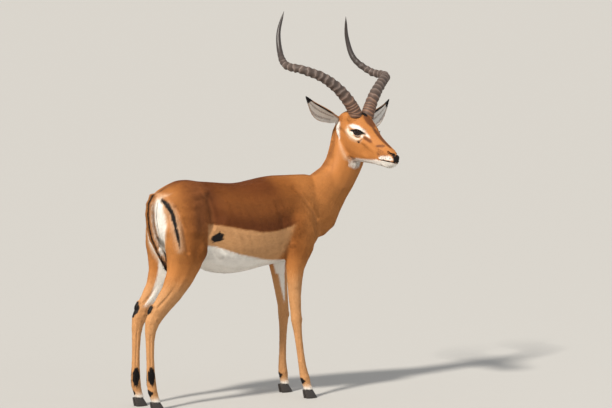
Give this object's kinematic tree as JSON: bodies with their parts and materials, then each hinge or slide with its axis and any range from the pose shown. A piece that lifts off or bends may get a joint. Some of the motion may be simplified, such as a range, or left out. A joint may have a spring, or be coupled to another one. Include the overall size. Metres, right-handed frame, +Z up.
{
  "type": "impala antelope",
  "caption": "Life-size impala ram standing square with its head turned to one side, with lyre-shaped ridged horns, spread ears, slender legs and cloven hooves.",
  "frame": {"origin": "on the floor, under the middle of the whole figure's bounding box", "axes": "+X the way the body points, +Y its left, +Z up"},
  "size_m": [1.2078, 0.5454, 1.4717],
  "materials": {
    "coat": "short smooth fur, reddish brown above and white below",
    "face": "very short fur, reddish brown with white about the eyes and lips",
    "ear": "thin short fur, white inside with a black tip",
    "horn": "keratin, ridged and dull, smoother towards the tip",
    "hoof": "dark keratin, half dull",
    "eye": "wet and glossy, dark brown"
  },
  "bodies": {
    "root": {"horn_left": "horn", "ear_left": "ear", "eye_left": "eye", "horn_right": "horn", "ear_right": "ear", "eye_right": "eye", "head": "face", "foreleg_left_upper": "coat", "foreleg_left_cannon": "coat", "foreleg_left_pastern": "coat", "foreleg_left_claw_outer": "hoof", "foreleg_left_claw_inner": "hoof", "foreleg_right_upper": "coat", "foreleg_right_cannon": "coat", "foreleg_right_pastern": "coat", "foreleg_right_claw_outer": "hoof", "foreleg_right_claw_inner": "hoof", "hindleg_left_upper": "coat", "hindleg_left_cannon": "coat", "hindleg_left_pastern": "coat", "hindleg_left_claw_outer": "hoof", "hindleg_left_claw_inner": "hoof", "hindleg_right_upper": "coat", "hindleg_right_cannon": "coat", "hindleg_right_pastern": "coat", "hindleg_right_claw_outer": "hoof", "hindleg_right_claw_inner": "hoof", "rump": "coat", "belly": "coat", "chest": "coat", "neck": "coat", "tail": "coat"}
  },
  "joints": []
}
